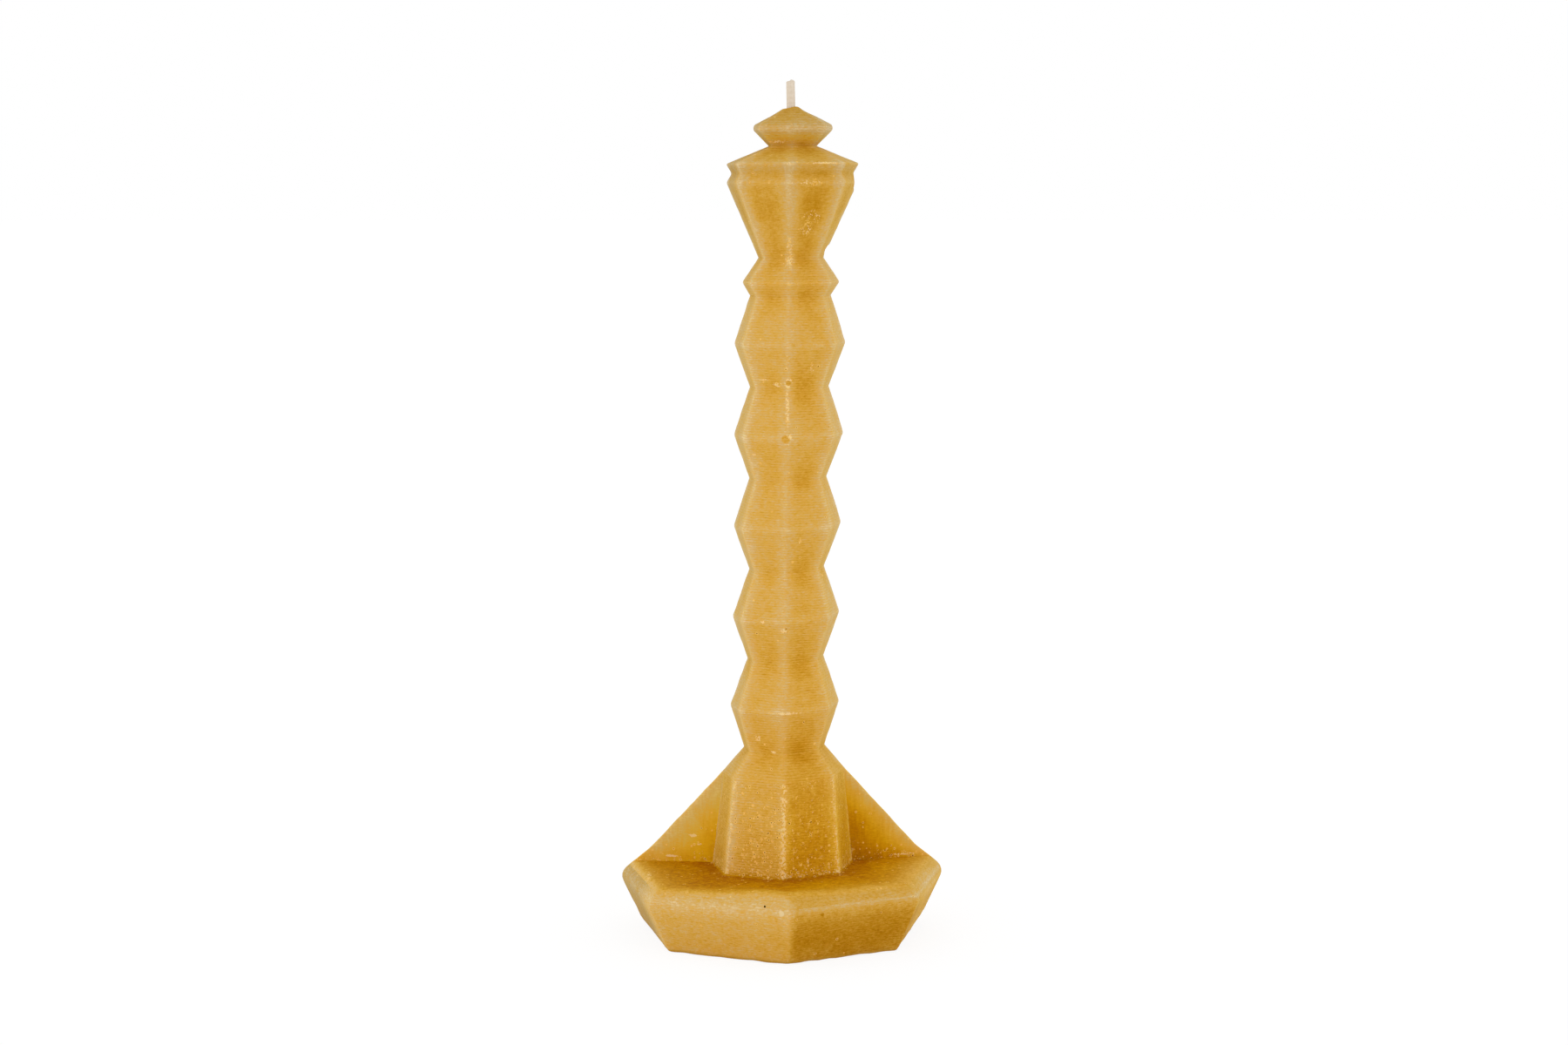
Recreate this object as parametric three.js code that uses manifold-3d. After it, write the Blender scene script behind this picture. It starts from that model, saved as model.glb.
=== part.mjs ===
// Geometric candle: one seven-sided beeswax casting on a braided cotton wick.
// Millimetres, +Z up, front towards -Y. The origin is on the candle's axis, on its foot plane.
//
// The casting is a seven-sided profile from foot to tip. Over the rim, the four front
// facets of the skirt are cut away down to a flat drip tray, and the flared foot of the
// stem is left standing in it. The cut's two upright faces are the sails behind the tray.

import * as THREE from 'three';
import { mergeVertices } from 'three/addons/utils/BufferGeometryUtils.js';
import Module from 'manifold-3d';

// Section: a regular polygon with one corner to the front and softened ridges
const sides = 7;
const ridgeRound = 1.5;
const ridgeRoundSteps = 2;
const ridgeRoundLimit = 0.3;

// Base, from the foot plane up to the waist of the stem
const footRadius = 44;
const rimRise = 16.7;
const rimRadius = 52.4;
const rimRound = 3.2;
const skirtKnotRise = 8.1;
const skirtKnotRadius = 42.7;
const skirtRise = 25.7;
const flareRadius = 19.2;
const flareRise = 7.6;
const waistRadius = 12.75;

// Drip tray, cut into the skirt above the rim
const openFacets = 4;
const trayFloorRise = 4.1;
const trayTopRise = 1.9;
const traySectorReach = 105;
const pedestalFootRadius = 22.2;
const cutOvershoot = 1;

// Stem: beads of one pitch between necks, from the waist up
const beadLowerRise = 13.4;
const beadUpperRise = 14.55;
const beads = [
  { edgeRadius: 17.3, neckRadius: 12.0 },
  { edgeRadius: 16.9, neckRadius: 11.8 },
  { edgeRadius: 16.95, neckRadius: 12.15 },
  { edgeRadius: 17.2, neckRadius: 12.4 },
  { edgeRadius: 17.45, neckRadius: 12.65 },
];
const beadRound = 0.5;

// Small collar bead under the crown
const collarRise = 4.05;
const collarRadius = 15.25;
const crownNeckRise = 7.45;
const crownNeckRadius = 10.15;

// Crown
const crownRise = 22.85;
const crownRadius = 20.55;
const grooveRise = 2.75;
const grooveRadius = 19;
const shoulderRise = 2.95;
const shoulderRadius = 20.8;
const crownRound = 0.8;

// Cap
const capNeckRise = 5.3;
const capNeckRadius = 7.45;
const capRise = 4.9;
const capRadius = 12.45;
const browRise = 1.5;
const browRadius = 12.2;
const capRound = 0.6;
const tipRise = 5;
const tipRadius = 2.05;

// Wick, a braided cotton cord of rounded square section
const wickWidth = 2.3;
const wickCornerRadius = 0.7;
const wickCornerSteps = 3;
const wickEndRound = 0.35;
const wickLength = 260.2;
const waxUnderWick = 3;
const wickClearance = 0.3;

// Points on the short curve that softens an edge of the profile
const roundSteps = 3;
const roundLimit = 0.45;

// Profile from the foot to the tip: rise from the point before, corner radius, edge round
const base = [
  { rise: 0, radius: footRadius },
  { rise: rimRise, radius: rimRadius, round: rimRound },
  { rise: skirtKnotRise, radius: skirtKnotRadius },
  { rise: skirtRise, radius: flareRadius },
  { rise: flareRise, radius: waistRadius },
];
const stem = beads.flatMap(({ edgeRadius, neckRadius }) => [
  { rise: beadLowerRise, radius: edgeRadius, round: beadRound },
  { rise: beadUpperRise, radius: neckRadius },
]);
const crown = [
  { rise: collarRise, radius: collarRadius, round: beadRound },
  { rise: crownNeckRise, radius: crownNeckRadius },
  { rise: crownRise, radius: crownRadius, round: crownRound },
  { rise: grooveRise, radius: grooveRadius, round: crownRound },
  { rise: shoulderRise, radius: shoulderRadius, round: crownRound },
];
const cap = [
  { rise: capNeckRise, radius: capNeckRadius },
  { rise: capRise, radius: capRadius, round: capRound },
  { rise: browRise, radius: browRadius, round: capRound },
  { rise: tipRise, radius: tipRadius },
];

// Knots of a profile with their heights summed up, as points (radius, height)
function knotsOf(steps, startHeight) {
  let height = startHeight;
  return steps.map(({ rise, radius, round = 0 }) => {
    height += rise;
    return { at: new THREE.Vector2(radius, height), round };
  });
}

// Profile points, with each rounded knot drawn as a quadratic curve between its two flanks
function profilePoints(knots) {
  return knots.flatMap(({ at, round }, i) => {
    if (!round || i === 0 || i === knots.length - 1) return [at];
    const below = knots[i - 1].at;
    const above = knots[i + 1].at;
    const reachBelow = Math.min(round, roundLimit * at.distanceTo(below));
    const reachAbove = Math.min(round, roundLimit * at.distanceTo(above));
    const start = at.clone().lerp(below, reachBelow / at.distanceTo(below));
    const end = at.clone().lerp(above, reachAbove / at.distanceTo(above));
    return new THREE.QuadraticBezierCurve(start, at, end).getPoints(roundSteps);
  });
}

// Direction at an angle from the front, -Y, turning towards +X
function direction(angle) {
  return new THREE.Vector2(Math.sin(angle), -Math.cos(angle));
}

// Section of the casting: a polygon whose corners are short arcs
function sectionPoints(cornerRadius) {
  const halfSide = Math.PI / sides;
  const round = Math.min(ridgeRound, ridgeRoundLimit * cornerRadius);
  const arcCentre = cornerRadius - round / Math.cos(halfSide);
  const points = [];
  for (let corner = 0; corner < sides; corner += 1) {
    const ridge = 2 * halfSide * corner;
    for (let step = 0; step <= ridgeRoundSteps; step += 1) {
      const turn = halfSide * (2 * step / ridgeRoundSteps - 1);
      const centre = direction(ridge).multiplyScalar(arcCentre);
      points.push(centre.add(direction(ridge + turn).multiplyScalar(round)));
    }
  }
  return points;
}

// Loft of the section through every point of a profile, closed at both ends
function loft(profile) {
  const positions = [];
  const index = [];
  for (const { x: radius, y: height } of profile) {
    for (const point of sectionPoints(radius)) positions.push(point.x, point.y, height);
  }
  const perRing = sides * (ridgeRoundSteps + 1);
  for (let ring = 0; ring < profile.length - 1; ring += 1) {
    for (let k = 0; k < perRing; k += 1) {
      const a = ring * perRing + k;
      const b = ring * perRing + (k + 1) % perRing;
      index.push(a, b, b + perRing, a, b + perRing, a + perRing);
    }
  }
  const bottomCentre = profile.length * perRing;
  const topCentre = bottomCentre + 1;
  positions.push(0, 0, profile[0].y, 0, 0, profile[profile.length - 1].y);
  const topRing = (profile.length - 1) * perRing;
  for (let k = 0; k < perRing; k += 1) {
    const next = (k + 1) % perRing;
    index.push(bottomCentre, next, k);
    index.push(topCentre, topRing + k, topRing + next);
  }
  const geometry = new THREE.BufferGeometry();
  geometry.setAttribute('position', new THREE.Float32BufferAttribute(positions, 3));
  geometry.setIndex(index);
  return geometry;
}

// Boolean library
const wasm = await Module();
wasm.setup();

function toSolid(geometry) {
  const bare = geometry.clone();
  bare.deleteAttribute('normal');
  bare.deleteAttribute('uv');
  const merged = mergeVertices(bare);
  return new wasm.Manifold(new wasm.Mesh({
    numProp: 3,
    vertProperties: new Float32Array(merged.attributes.position.array),
    triVerts: new Uint32Array(merged.index.array),
  }));
}

function toGeometry(solid) {
  const mesh = solid.getMesh();
  const geometry = new THREE.BufferGeometry();
  geometry.setAttribute('position', new THREE.BufferAttribute(mesh.vertProperties, 3));
  geometry.setIndex(new THREE.BufferAttribute(mesh.triVerts, 1));
  geometry.computeVertexNormals();
  return geometry;
}

// Rounded square outline of the wick, grown by a clearance for the hole that it fills
function wickOutline(clearance) {
  const half = wickWidth / 2 + clearance;
  const corner = wickCornerRadius + clearance;
  const flat = half - corner;
  const outline = new THREE.Shape();
  outline.moveTo(flat, -half);
  outline.absarc(flat, -flat, corner, -Math.PI / 2, 0);
  outline.absarc(flat, flat, corner, 0, Math.PI / 2);
  outline.absarc(-flat, flat, corner, Math.PI / 2, Math.PI);
  outline.absarc(-flat, -flat, corner, Math.PI, 1.5 * Math.PI);
  return outline;
}

// Wick, from just above the wax that seals the foot, its cut ends slightly rounded
function wickGeometry() {
  const geometry = new THREE.ExtrudeGeometry(wickOutline(0), {
    depth: wickLength - 2 * wickEndRound,
    steps: 1,
    curveSegments: wickCornerSteps,
    bevelThickness: wickEndRound,
    bevelSize: wickEndRound,
    bevelOffset: -wickEndRound,
    bevelSegments: 2,
  });
  geometry.translate(0, 0, waxUnderWick + wickEndRound);
  return geometry;
}

// Hole for the wick, closed at the foot and open at the tip
function wickHole(tipHeight) {
  const floor = waxUnderWick - wickClearance;
  const geometry = new THREE.ExtrudeGeometry(wickOutline(wickClearance), {
    depth: tipHeight + cutOvershoot - floor,
    steps: 1,
    curveSegments: wickCornerSteps,
    bevelEnabled: false,
  });
  geometry.translate(0, 0, floor);
  return geometry;
}

// Front sector over the tray, bounded by upright planes from the axis to two ridges
function traySector(floorHeight, topHeight) {
  const ridgeAngle = Math.PI * openFacets / sides;
  const outline = new THREE.Shape([
    new THREE.Vector2(0, 0),
    direction(-ridgeAngle).multiplyScalar(traySectorReach),
    direction(-ridgeAngle / 2).multiplyScalar(traySectorReach),
    direction(0).multiplyScalar(traySectorReach),
    direction(ridgeAngle / 2).multiplyScalar(traySectorReach),
    direction(ridgeAngle).multiplyScalar(traySectorReach),
  ]);
  const depth = topHeight - floorHeight;
  const geometry = new THREE.ExtrudeGeometry(outline, { depth, steps: 1, bevelEnabled: false });
  geometry.translate(0, 0, floorHeight);
  return geometry;
}

// Foot of the stem that stays in the tray, drawn a little past its floor and its top
function pedestal(floorHeight, topHeight) {
  const taper = (pedestalFootRadius - flareRadius) / (topHeight - floorHeight);
  return loft([
    new THREE.Vector2(pedestalFootRadius + taper * cutOvershoot, floorHeight - cutOvershoot),
    new THREE.Vector2(flareRadius - taper * cutOvershoot, topHeight + cutOvershoot),
  ]);
}

function waxGeometry() {
  const knots = knotsOf([...base, ...stem, ...crown, ...cap], 0);
  const trayFloor = rimRise + trayFloorRise;
  const flareHeight = rimRise + skirtKnotRise + skirtRise;
  const tipHeight = knots[knots.length - 1].at.y;
  const trayTop = flareHeight + trayTopRise;
  const tray = toSolid(traySector(trayFloor, trayTop)).subtract(toSolid(pedestal(trayFloor, flareHeight)));
  const casting = toSolid(loft(profilePoints(knots)));
  return toGeometry(casting.subtract(tray).subtract(toSolid(wickHole(tipHeight))));
}

function part(name, geometry, material) {
  const mesh = new THREE.Mesh(geometry, new THREE.MeshStandardMaterial(material));
  mesh.name = name;
  return mesh;
}

const candle = new THREE.Group();
candle.add(part('wax_body', waxGeometry(), { color: 0xd2a04a, roughness: 0.5, metalness: 0 }));
candle.add(part('wick', wickGeometry(), { color: 0xe4d9c6, roughness: 0.95, metalness: 0 }));

export default candle;
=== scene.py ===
"""Geometric beeswax candle: a seven-sided casting on a braided cotton wick, dressed round its CAD part."""

import math

import bpy
import numpy as np
from bpy.props import FloatProperty, FloatVectorProperty, PointerProperty
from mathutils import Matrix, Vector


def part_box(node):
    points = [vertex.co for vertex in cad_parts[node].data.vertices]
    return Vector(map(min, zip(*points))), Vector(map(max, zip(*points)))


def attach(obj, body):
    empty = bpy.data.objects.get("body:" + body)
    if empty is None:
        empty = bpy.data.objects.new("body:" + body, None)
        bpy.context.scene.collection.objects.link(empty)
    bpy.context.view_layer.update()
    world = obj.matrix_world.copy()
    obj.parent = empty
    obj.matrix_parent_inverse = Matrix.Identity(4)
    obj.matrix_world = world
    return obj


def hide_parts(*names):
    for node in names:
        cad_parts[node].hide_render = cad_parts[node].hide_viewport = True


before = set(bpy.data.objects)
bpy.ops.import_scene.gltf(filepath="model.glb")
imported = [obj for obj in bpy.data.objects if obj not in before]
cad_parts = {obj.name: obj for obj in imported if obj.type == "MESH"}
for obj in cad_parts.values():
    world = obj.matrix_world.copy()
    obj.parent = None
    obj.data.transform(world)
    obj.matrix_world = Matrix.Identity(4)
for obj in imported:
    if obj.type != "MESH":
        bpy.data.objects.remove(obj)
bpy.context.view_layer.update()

bl_info = {
    "name": "Geometric Beeswax Candle",
    "version": (1, 0, 0),
    "blender": (4, 5, 0),
    "location": "3D View > Sidebar > Candle",
    "description": "Builds a seven-sided beeswax candle, its braided wick and a plain white stage",
    "category": "Add Mesh",
}

MM = 0.001
WHITE, BLACK = (1.0, 1.0, 1.0), (0.0, 0.0, 0.0)

# Section: seven sides, of which the four in front open over the drip tray
SIDES = 7
OPEN_FACETS = 4
PITCH = 2 * math.pi / SIDES
HALF = PITCH / 2
OPEN_RIDGE = OPEN_FACETS / 2 * PITCH

# Knots of the outline, counted from the middle of the foot. The beads lie between waist and collar
FOOT, RIM, TRAY_EDGE, TRAY_ROOT, FLARE, WAIST = range(1, 7)
COLLAR, THROAT, CROWN = 17, 18, 19
SHOULDER, CAP_NECK, CAP_EDGE, BROW, TIP = range(21, 26)

# Knots over the base that stand out as level edges, and those that lie in as necks
EDGES = (*range(WAIST + 1, COLLAR, 2), COLLAR, CROWN, SHOULDER, CAP_EDGE, BROW)
NECKS = (*range(WAIST, COLLAR, 2), THROAT, CAP_NECK)

# Points on the curve of a rounded knot, and how much of a flank it takes at most
ROUND_POINTS, ROUND_LIMIT = 5, 0.45

# Rows on each flank of the outline: base, beads, collar, crown, cap and bore
ROWS = (9, 20, 7, 24, 32, 10, *(17, 18) * 5, 6, 9, 30, 5, 5, 12, 9, 3, 10, 3, 3, 3, 2)


def length(name, description, millimetres):
    """A size that the sidebar shows as a length, given in millimetres and kept in metres."""
    value = millimetres * MM
    return FloatProperty(name=name, description=description, default=value, unit="LENGTH", precision=5)


def vector(name, description, values, **kind):
    return FloatVectorProperty(name=name, description=description, size=len(values), default=values, **kind)


def lengths(name, description, *millimetres):
    """Sizes of like places, counted from the foot upwards."""
    return vector(name, description, [value * MM for value in millimetres], unit="LENGTH", precision=5)


def position(name, description, *metres):
    """A place in the scene, in metres."""
    return vector(name, description, metres, subtype="TRANSLATION", unit="LENGTH")


def angle(name, description, degrees):
    """An angle that the sidebar shows in degrees."""
    return FloatProperty(name=name, description=description, default=math.radians(degrees), subtype="ANGLE")


def colour(name, description, red, green, blue):
    """A colour, given as its red, green and blue out of 255 on a screen and kept as linear light."""
    linear = [((c / 255 + 0.055) / 1.055) ** 2.4 for c in (red, green, blue)]
    return vector(name, description, linear, subtype="COLOR", min=0, max=1)


def amount(name, description, value, high=10.0):
    """A plain number without a unit."""
    return FloatProperty(name=name, description=description, default=value, min=0, max=high)


class WaxShape(bpy.types.PropertyGroup):
    """Sizes of the casting, as heights over the foot and radii to its corners."""

    foot_radius: length("Foot radius", "Corner radius of the foot", 44.0)
    foot_trim: lengths("Foot trim", "Wax cut away at each corner, from the front round by the right",
                       0.0, 0.1, 3.4, 2.0, 1.0, 1.2, -0.1)
    foot_wave: length("Foot wave", "How far the cut waves", 0.15)
    rim_height: length("Rim height", "Height of the widest line of the base", 16.7)
    rim_radius: length("Rim radius", "Corner radius at the widest line", 52.4)
    rim_round: length("Rim round", "How far the rim's edge is rounded", 3.2)
    tray_height: length("Tray height", "Height of the drip tray's floor", 20.8)
    tray_radius: length("Tray radius", "Corner radius of the tray floor's outer edge", 47.7)
    lip_rise: length("Lip rise", "How much higher the tray's edge is in front", 1.1)
    lip_retreat: length("Lip retreat", "How much further back it is there", 2.6)
    lip_bearing: angle("Lip bearing", "Where that is, from the front ridge", -7.0)
    lip_reach: angle("Lip reach", "How far it reaches to both sides", 18.0)
    skirt_height: length("Skirt height", "Where the skirt grows steeper", 24.8)
    skirt_radius: length("Skirt radius", "Corner radius of the skirt there", 42.7)
    pedestal_radius: length("Pedestal radius", "Corner radius of the stem's foot in the tray", 22.2)
    flare_height: length("Flare height", "Where the skirt meets the stem's flare", 50.5)
    flare_radius: length("Flare radius", "Corner radius there", 19.2)
    waist_height: length("Waist height", "Height of the first neck over the base", 58.1)
    waist_radius: length("Waist radius", "Corner radius of that neck", 12.75)
    bead_rise: length("Bead rise", "From a neck up to the edge of its bead", 13.4)
    neck_rise: length("Neck rise", "From a bead's edge up to the next neck", 14.55)
    bead_radii: lengths("Bead radii", "Corner radius of each bead", 17.3, 16.9, 16.95, 17.2, 17.45)
    neck_radii: lengths("Neck radii", "Corner radius over each bead", 12.0, 11.8, 12.15, 12.4, 12.65)
    collar_rises: lengths("Collar rises", "Up to the small collar's edge and the crown's neck", 4.05, 7.45)
    collar_radii: lengths("Collar radii", "Corner radius of edge and neck", 15.25, 10.15)
    crown_rises: lengths("Crown rises", "Up to the crown's edge, groove and shoulder", 22.85, 2.75, 2.95)
    crown_radii: lengths("Crown radii", "Corner radius of edge, groove and shoulder", 20.55, 19.0, 20.8)
    cap_rises: lengths("Cap rises", "Up to the cap's neck, edge, brow and tip", 5.3, 4.9, 1.5, 5.0)
    cap_radii: lengths("Cap radii", "Corner radius of neck, edge, brow and tip", 7.45, 12.45, 12.2, 2.05)
    ridge_round: length("Ridge round", "Radius of the softened upright ridges", 1.7)
    edge_round: length("Edge round", "How far the level edges are rounded", 0.7)
    base_rounds: lengths("Base rounds", "Rounding of foot, tray edge, skirt edge, folds and flare",
                         0.5, 1.8, 1.2, 0.8, 0.6)
    neck_round: length("Neck round", "How far the necks are rounded", 0.25)
    bore_radius: length("Bore radius", "Radius of the hole in which the wick lies", 1.5)
    bore_floor: length("Bore floor", "Height at which the hole ends", 2.7)
    drawn_wax: length("Drawn wax", "How far wax is drawn up round the wick", 0.6)
    lean: angle("Lean", "How far the stem leans to the right", 0.8)
    shift: length("Shift", "How far the foot lies to the left of the axis", 0.2)
    wick_shift: length("Wick shift", "How far the wick lies to the left of the tip's middle", 0.65)
    base_yaw: angle("Base yaw", "Turn of the front ridge on the base", 2.2)
    pedestal_yaw: angle("Pedestal yaw", "Turn of the front ridge at the stem's foot", 0.4)
    waist_yaw: angle("Waist yaw", "Turn of the front ridge at the waist", -1.6)
    crown_yaw: angle("Crown yaw", "Turn of the front ridge at the crown", -2.2)
    shoulder_yaw: angle("Shoulder yaw", "More turn of the next ridge at the shoulder", -4.0)
    base_tilt: angle("Base tilt", "How far the rim and the tray climb to the right", 0.6)
    tilt: angle("Layer tilt", "How much more the stem's level edges climb", 2.0)
    tilt_height: length("Tilt height", "Height at which they climb most", 99.0)
    tilt_reach: length("Tilt reach", "How far above and below that they climb", 52.0)


class WaxFinish(bpy.types.PropertyGroup):
    """Colours and relief of the beeswax."""

    flake: colour("Flakes", "Dry flakes on the wax", 248, 220, 164)
    rim: colour("Rims", "Rims of pits and curls of film", 255, 212, 118)
    # A pit's floor colour is painted shade in the pit
    pit: colour("Pits", "Floor of a pit", 128, 76, 8)
    bloom: colour("Bloom", "Palest film over the wax", 232, 206, 156)
    # The palest colours also paint glow through thin edges and a sheen on the side facets
    thin: colour("Thin wax", "Palest wax, at thin and worn edges", 221, 185, 118)
    light: colour("Light wax", "Wax in the thin stem", 225, 176, 82)
    full: colour("Full wax", "Wax in the thicker parts", 218, 165, 58)
    warm: colour("Warm wax", "Wax where the section is thickest", 208, 151, 36)
    # The rich and deep colours also paint shade in the hollows, on the tray's floor and inwards on the sails
    rich: colour("Rich wax", "Wax in the hollows", 195, 134, 4)
    deep: colour("Deep wax", "Deepest wax, in the tray's corners", 158, 92, 2)
    layer_height: length("Layer height", "Height of one layer line of the mould", 0.77)
    glow: amount("Glow", "How much light passes through the wax", 0.6, 1.0)
    roughness: amount("Roughness", "Dullness of the surface", 0.55, 1.0)


class WickShape(bpy.types.PropertyGroup):
    """Sizes and colours of the cotton wick."""

    width: length("Wick width", "Width across the flat of the braid", 2.65)
    strand: length("Strand pitch", "Height of one crossing of the strands", 1.6)
    free: length("Free length", "How much of the wick has its full width", 9.0)
    bend: length("Bend", "How far the free length bends to the left", 0.25)
    cut: length("Cut", "How much lower the top is cut on its left", 0.35)
    cotton: colour("Cotton", "Colour of the fibres", 234, 220, 202)
    shade: colour("Cotton shade", "Colour between the strands", 226, 211, 190)


class StageLook(bpy.types.PropertyGroup):
    """Camera, lamp, room and floor."""

    camera_place: position("Camera place", "Where the camera stands", 0.0006, -0.960, 0.2310)
    camera_pitch: angle("Camera pitch", "How far the camera looks down", 6.12)
    lens: amount("Lens", "Focal length in millimetres on a 36 mm sensor", 72.0, 300.0)
    key_place: position("Key place", "Where the large soft lamp stands", -0.9, -1.25, 0.45)
    key_aim: position("Key aim", "Where it shines", 0.0, 0.0, 0.12)
    key_size: amount("Key size", "Width of the lamp in metres", 1.1)
    key_power: amount("Key power", "Watts of the lamp", 1.3, 1000.0)
    fill_level: amount("Fill level", "Brightness of the room round the candle", 1.21)
    top_share: amount("Top share", "Brightness overhead as a share of that", 0.6, 1.0)
    floor: colour("Floor", "Colour of the floor under the candle's shadow", 250, 250, 250)
    floor_half: amount("Floor half", "From the floor's middle to its edge in metres", 20.0, 100.0)
    floor_white: amount("Floor white", "Brightness of the plain white over the floor", 1.04)
    floor_share: amount("Floor share", "How much of its look is that white", 0.86, 1.0)


def bell(distance):
    """1 at no distance, falling off as an exponential of its square, to nothing past about 2."""
    return np.exp(-(distance**2))


def ease(low, high, value):
    """0 below low, 1 above high and a smooth cubic between them."""
    t = np.clip((value - low) / (high - low), 0, 1)
    return t * t * (3 - 2 * t)


def plateau(value, start, full, wane, end):
    """0 up to start, 1 from full to wane, 0 from end on, and straight slopes between them."""
    return np.interp(value, [start, full, wane, end], [0, 1, 1, 0])


def blend(first, second, share):
    """The first where the share is 0, the second where it is 1."""
    return first * (1 - share) + second * share


def outwards(turn):
    """Level direction away from the axis, at an angle from the front that turns to the right."""
    return np.stack([np.sin(turn), -np.cos(turn), 0 * turn], axis=-1)


def from_ridge(turn):
    """Angle to the nearest ridge of the section."""
    return np.abs((turn + HALF) % PITCH - HALF)


def distances(path):
    """How far along a path each of its points lies."""
    return np.concatenate([[0], np.cumsum(np.linalg.norm(np.diff(path, axis=0), axis=1))])


def waves(points, wavelength, seed, count=14):
    """Soft unevenness about nothing: a sum of cosines that run in random directions over the points, divided
    by the root of their number."""
    rng = np.random.default_rng(seed)
    direction = rng.normal(size=(count, 3))
    frequency = rng.uniform(0.7, 1.4, count) * 2 * math.pi / wavelength
    direction *= (frequency / np.linalg.norm(direction, axis=1))[:, None]
    phase = rng.uniform(0, 2 * math.pi, count)
    return np.cos(points @ direction.T + phase).sum(-1) / math.sqrt(count)


def rounded_section(turn, corner, soften):
    """Distance from the axis to a seven-sided section with softened ridges, at an angle from one of them. A
    ridge is an arc whose top is at the corner radius and which touches both facets. A facet is the radius of
    the sharp corner, times the cosine of half a side, over the cosine of the angle from its middle."""
    aside = from_ridge(turn)
    sharp = corner + soften * (1 / math.cos(HALF) - 1)
    facet = sharp * math.cos(HALF) / np.cos(HALF - aside)
    centre = corner - soften
    touch = np.arctan2(soften * math.sin(HALF), centre + soften * math.cos(HALF))
    arc = centre * np.cos(aside) + np.sqrt(np.maximum(soften**2 - (centre * np.sin(aside)) ** 2, 0))
    return np.where(aside < touch, arc, facet)


def softened_path(knots):
    """Points of a polyline with rounded knots, as radius and height, and how many knots each has passed. A
    rounded knot is a quadratic curve from its lower to its upper flank, and a flank has even rows."""
    knots = [(np.array(knot[:2], float), knot[2]) for knot in knots]
    curves = []
    for (below, _), (at, reach), (above, _) in zip(knots, knots[1:], knots[2:]):
        down, up = at - below, above - at
        lower = at - down * min(reach / np.linalg.norm(down), ROUND_LIMIT)
        upper = at + up * min(reach / np.linalg.norm(up), ROUND_LIMIT)
        t = np.linspace(0, 1, ROUND_POINTS)[:, None]
        curve = (1 - t) ** 2 * lower + 2 * t * (1 - t) * at + t**2 * upper
        curves.append(curve if reach else at[None])
    start, end = knots[0][0], knots[-1][0]
    points, passed = [], []
    for number, (rows, curve) in enumerate(zip(ROWS, [*curves, end[None]])):
        t = np.linspace(0, 1, rows, endpoint=False)[:, None]
        points += [start + t * (curve[0] - start), curve[:-1]]
        passed += [number + t[:, 0], np.full(len(curve) - 1, number + 1.0)]
        start = curve[-1]
    return np.concatenate([*points, end[None]]), np.concatenate([*passed, [float(len(ROWS))]])


def facet_turns(start, count, columns):
    """Angles of the columns over some facets: even steps less a share of a sine wave across each facet,
    which crowds them at the ridges."""
    t = np.linspace(0, 1, columns, endpoint=False)
    crowded = t - 0.65 * np.sin(2 * math.pi * t) / (2 * math.pi)
    return np.concatenate([start + PITCH * (k + crowded) for k in range(count)])


def grid_mesh(name, points, attributes):
    """A closed mesh from a grid of points, rows by columns. The columns join round, and a fan to the mean of
    the row closes the first and the last."""
    rows, columns = points.shape[:2]
    vertices = np.concatenate([points.reshape(-1, 3), points[[0, -1]].mean(axis=1)])
    index = np.arange(rows * columns).reshape(rows, columns)
    right = np.roll(index, -1, axis=1)
    quads = np.stack([index[:-1], right[:-1], right[1:], index[1:]], axis=-1).reshape(-1)
    low, high = rows * columns, rows * columns + 1
    fan_low = np.stack([np.full(columns, low), right[0], index[0]], axis=-1).reshape(-1)
    fan_high = np.stack([np.full(columns, high), index[-1], right[-1]], axis=-1).reshape(-1)
    loops = np.concatenate([quads, fan_low, fan_high])
    starts = np.concatenate([np.arange(0, len(quads), 4), len(quads) + np.arange(0, 6 * columns, 3)])
    mesh = bpy.data.meshes.new(name)
    mesh.vertices.add(len(vertices))
    mesh.vertices.foreach_set("co", vertices.astype(np.float32).reshape(-1))
    mesh.loops.add(len(loops))
    mesh.loops.foreach_set("vertex_index", loops.astype(np.int32))
    mesh.polygons.add(len(starts))
    mesh.polygons.foreach_set("loop_start", starts.astype(np.int32))
    mesh.update(calc_edges=True)
    if mesh.validate():
        raise RuntimeError(f"{name} has faces that cannot stand")
    for key, values in attributes.items():
        full = np.concatenate([values.reshape(-1), values[[0, -1]].mean(axis=1)])
        mesh.attributes.new(key, "FLOAT", "POINT").data.foreach_set("value", full.astype(np.float32))
    mesh.shade_smooth()
    thing = bpy.data.objects.new(name, mesh)
    bpy.context.scene.collection.objects.link(thing)
    return thing


def wax_knots(w):
    """The outline of the casting from foot to tip, once as it runs over the open tray and once over the whole
    skirt. Each knot is radius, height and rounding."""
    sharp, edge, neck = 0.0, w.edge_round, w.neck_round
    at_foot, at_tray, at_skirt, fold, at_flare = w.base_rounds
    foot = [(0.0, 0.0, sharp), (w.foot_radius, 0.0, at_foot), (w.rim_radius, w.rim_height, w.rim_round)]
    front = [(w.tray_radius, w.tray_height, at_tray), (w.pedestal_radius, w.tray_height, fold)]
    rear = [(w.tray_radius, w.tray_height, at_skirt), (w.skirt_radius, w.skirt_height, fold)]
    upper = [(w.flare_radius, w.flare_height, at_flare), (w.waist_radius, w.waist_height, neck)]
    steps = []
    for bead_radius, neck_radius in zip(w.bead_radii, w.neck_radii):
        steps += [(w.bead_rise, bead_radius, edge), (w.neck_rise, neck_radius, neck)]
    steps += zip(w.collar_rises, w.collar_radii, (edge, neck))
    steps += zip(w.crown_rises, w.crown_radii, (edge, edge, edge))
    steps += zip(w.cap_rises, w.cap_radii, (1.2 * neck, edge, edge, edge))
    height = w.waist_height
    for rise, radius, soften in steps:
        height += rise
        upper.append((radius, height, soften))
    return foot, front, rear, upper, height


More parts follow.
